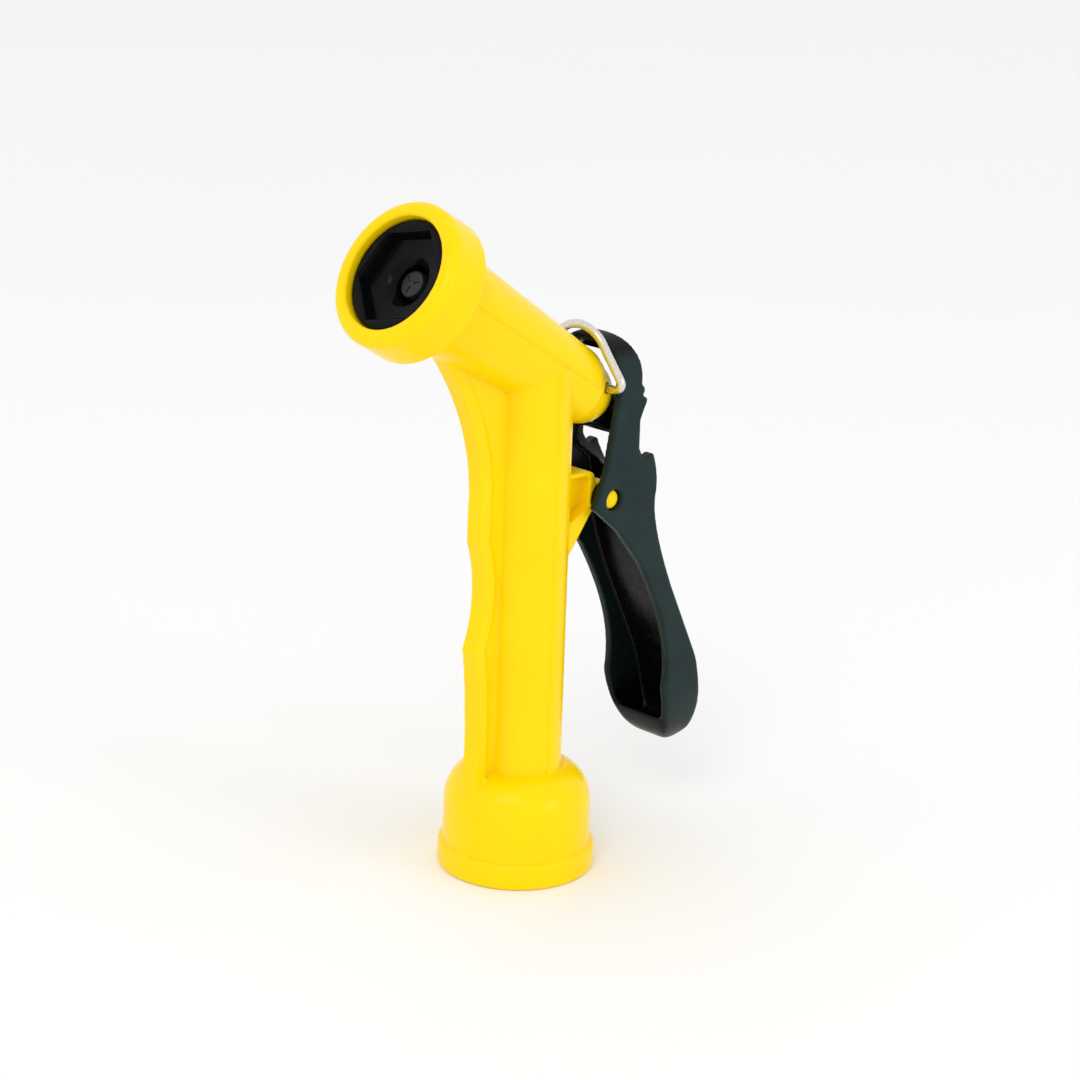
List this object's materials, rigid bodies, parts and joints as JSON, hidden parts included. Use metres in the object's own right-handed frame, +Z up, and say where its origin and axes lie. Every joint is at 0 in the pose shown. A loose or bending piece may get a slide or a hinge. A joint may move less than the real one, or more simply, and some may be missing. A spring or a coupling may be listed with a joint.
{
  "type": "hose spray nozzle",
  "caption": "Pistol-grip garden hose nozzle with an angled barrel, rear squeeze lever, sprung valve stem, hexagon spray insert and hinged wire clip.",
  "frame": {"origin": "centre of the hose collar's bottom face", "axes": "+Z up the grip, -X towards the spray, +Y across the barrel"},
  "size_m": [0.0995, 0.036, 0.1563],
  "materials": {
    "yellow_plastic": "glossy moulded",
    "black_plastic": "glossy moulded",
    "lever_plastic": "fine satin moulded",
    "grey_plastic": "satin moulded",
    "bright_steel": "bright drawn wire",
    "brass": "turned",
    "black_rubber": "moulded"
  },
  "bodies": {
    "body": {"body": "yellow_plastic", "end_cap": "yellow_plastic", "end_cap_o_ring": "black_rubber", "nozzle_insert": "black_plastic", "insert_o_ring": "black_rubber", "stem_o_ring": "black_rubber", "gland_washer": "brass", "gland_nut": "black_plastic", "return_spring": "bright_steel", "hose_washer": "black_rubber", "pivot_pin": "yellow_plastic"},
    "stem": {"valve_stem": "brass", "poppet_seal": "black_rubber", "stem_tip": "grey_plastic", "spring_washer": "brass", "adjusting_nut": "brass"},
    "lever": {"lever": "lever_plastic"},
    "clip": {"wire_clip": "bright_steel"}
  },
  "joints": [
    {"name": "lever_pivot", "type": "hinge", "parent": "body", "child": "lever", "pos_m": [0.018, 0, 0.0854], "axis": [0, 1, 0], "range_deg": [0, 18.5], "stiffness_Nm_per_rad": 0.5, "springref_deg": -17.19},
    {"name": "stem_slide", "type": "slide", "parent": "body", "child": "stem", "axis": [0.8572, 0, -0.515], "range_m": [0, 0.0067], "deforming": ["return_spring"]},
    {"name": "clip_hinge", "type": "hinge", "parent": "body", "child": "clip", "pos_m": [0.01716, 0, 0.11085], "axis": [0, 1, 0], "range_deg": [-14, 4]}
  ],
  "couplings": [
    {"joint": "stem_slide", "follows": "lever_pivot", "m_per_rad": 0.0207}
  ]
}
